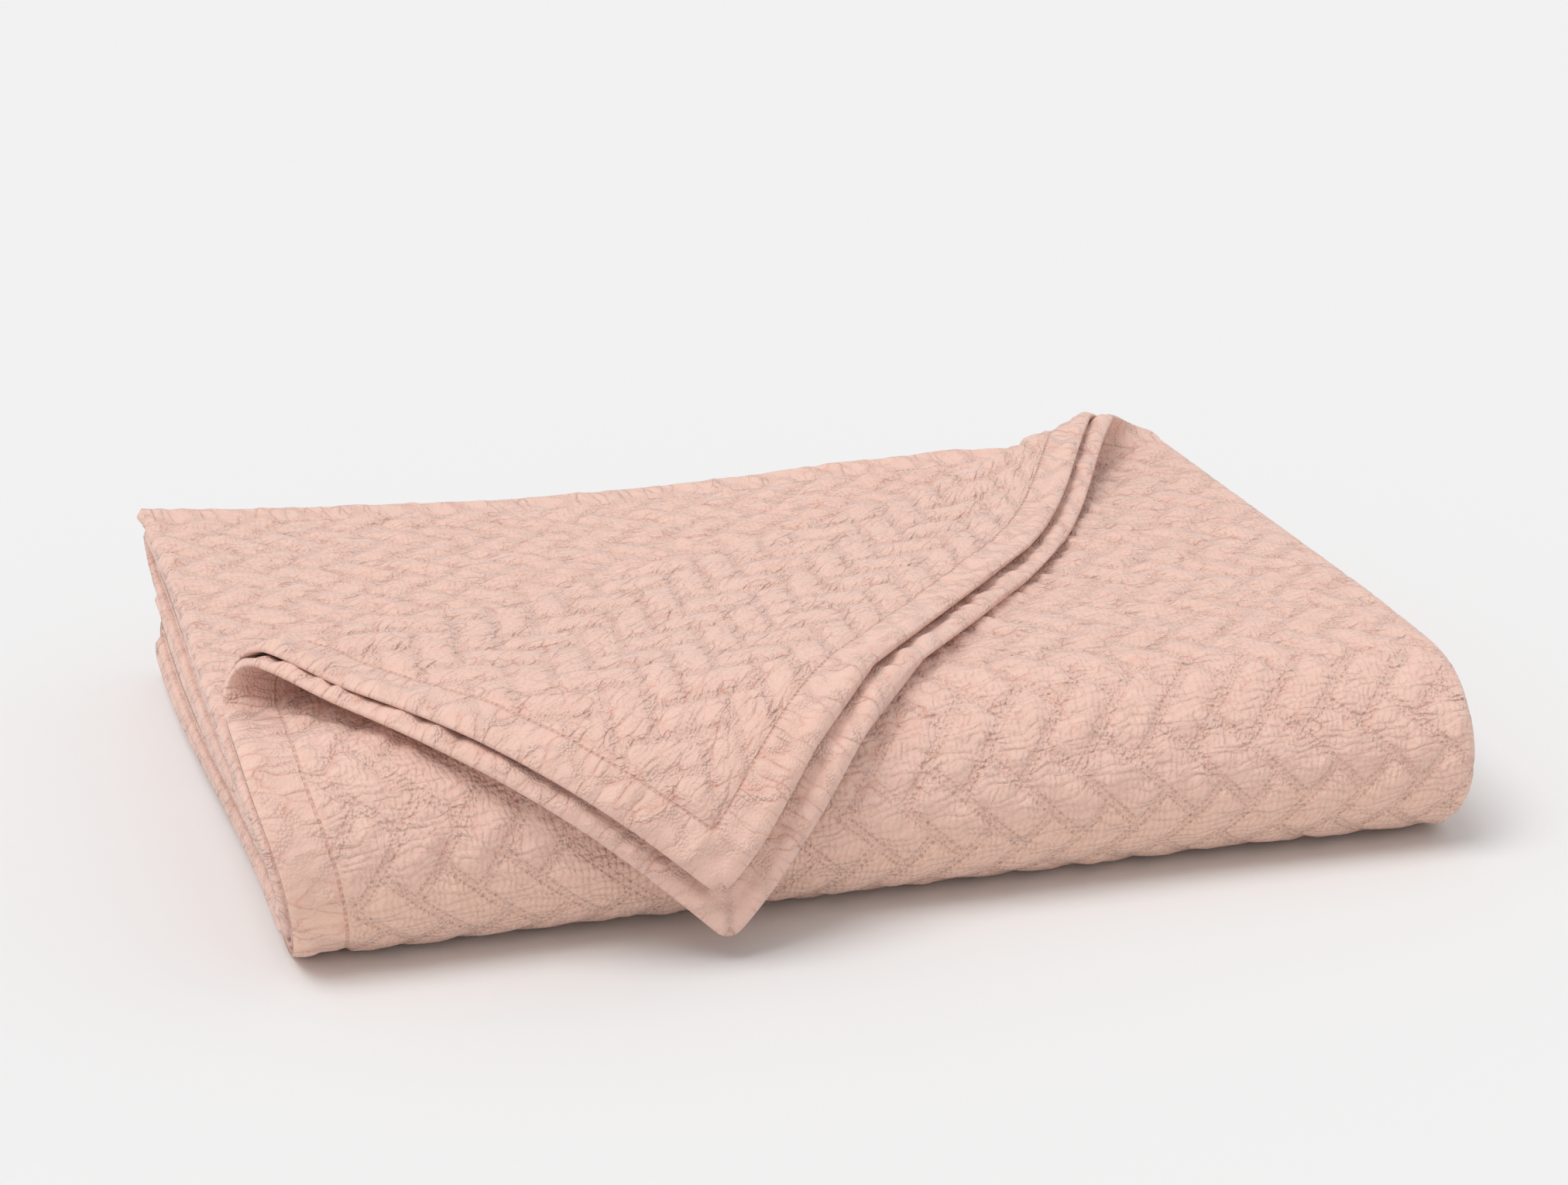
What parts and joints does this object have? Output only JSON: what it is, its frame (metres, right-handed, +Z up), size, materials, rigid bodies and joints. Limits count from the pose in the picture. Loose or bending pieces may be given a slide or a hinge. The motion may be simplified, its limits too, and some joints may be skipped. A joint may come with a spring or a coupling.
{
  "type": "quilted matelasse blanket, folded with a turned corner",
  "caption": "Folded quilted cotton matelasse blanket with a herringbone stitch pattern and one corner turned over.",
  "frame": {"origin": "middle of the folded blanket's flat underside", "axes": "+X along the front fold, from the hemmed left end to the closed right end; +Y from the front fold to the back; +Z up"},
  "size_m": [0.6056, 0.4532, 0.1335],
  "materials": {
    "cotton": "matte quilted cotton, blush pink"
  },
  "bodies": {
    "root": {"blanket": "cotton"}
  },
  "joints": []
}
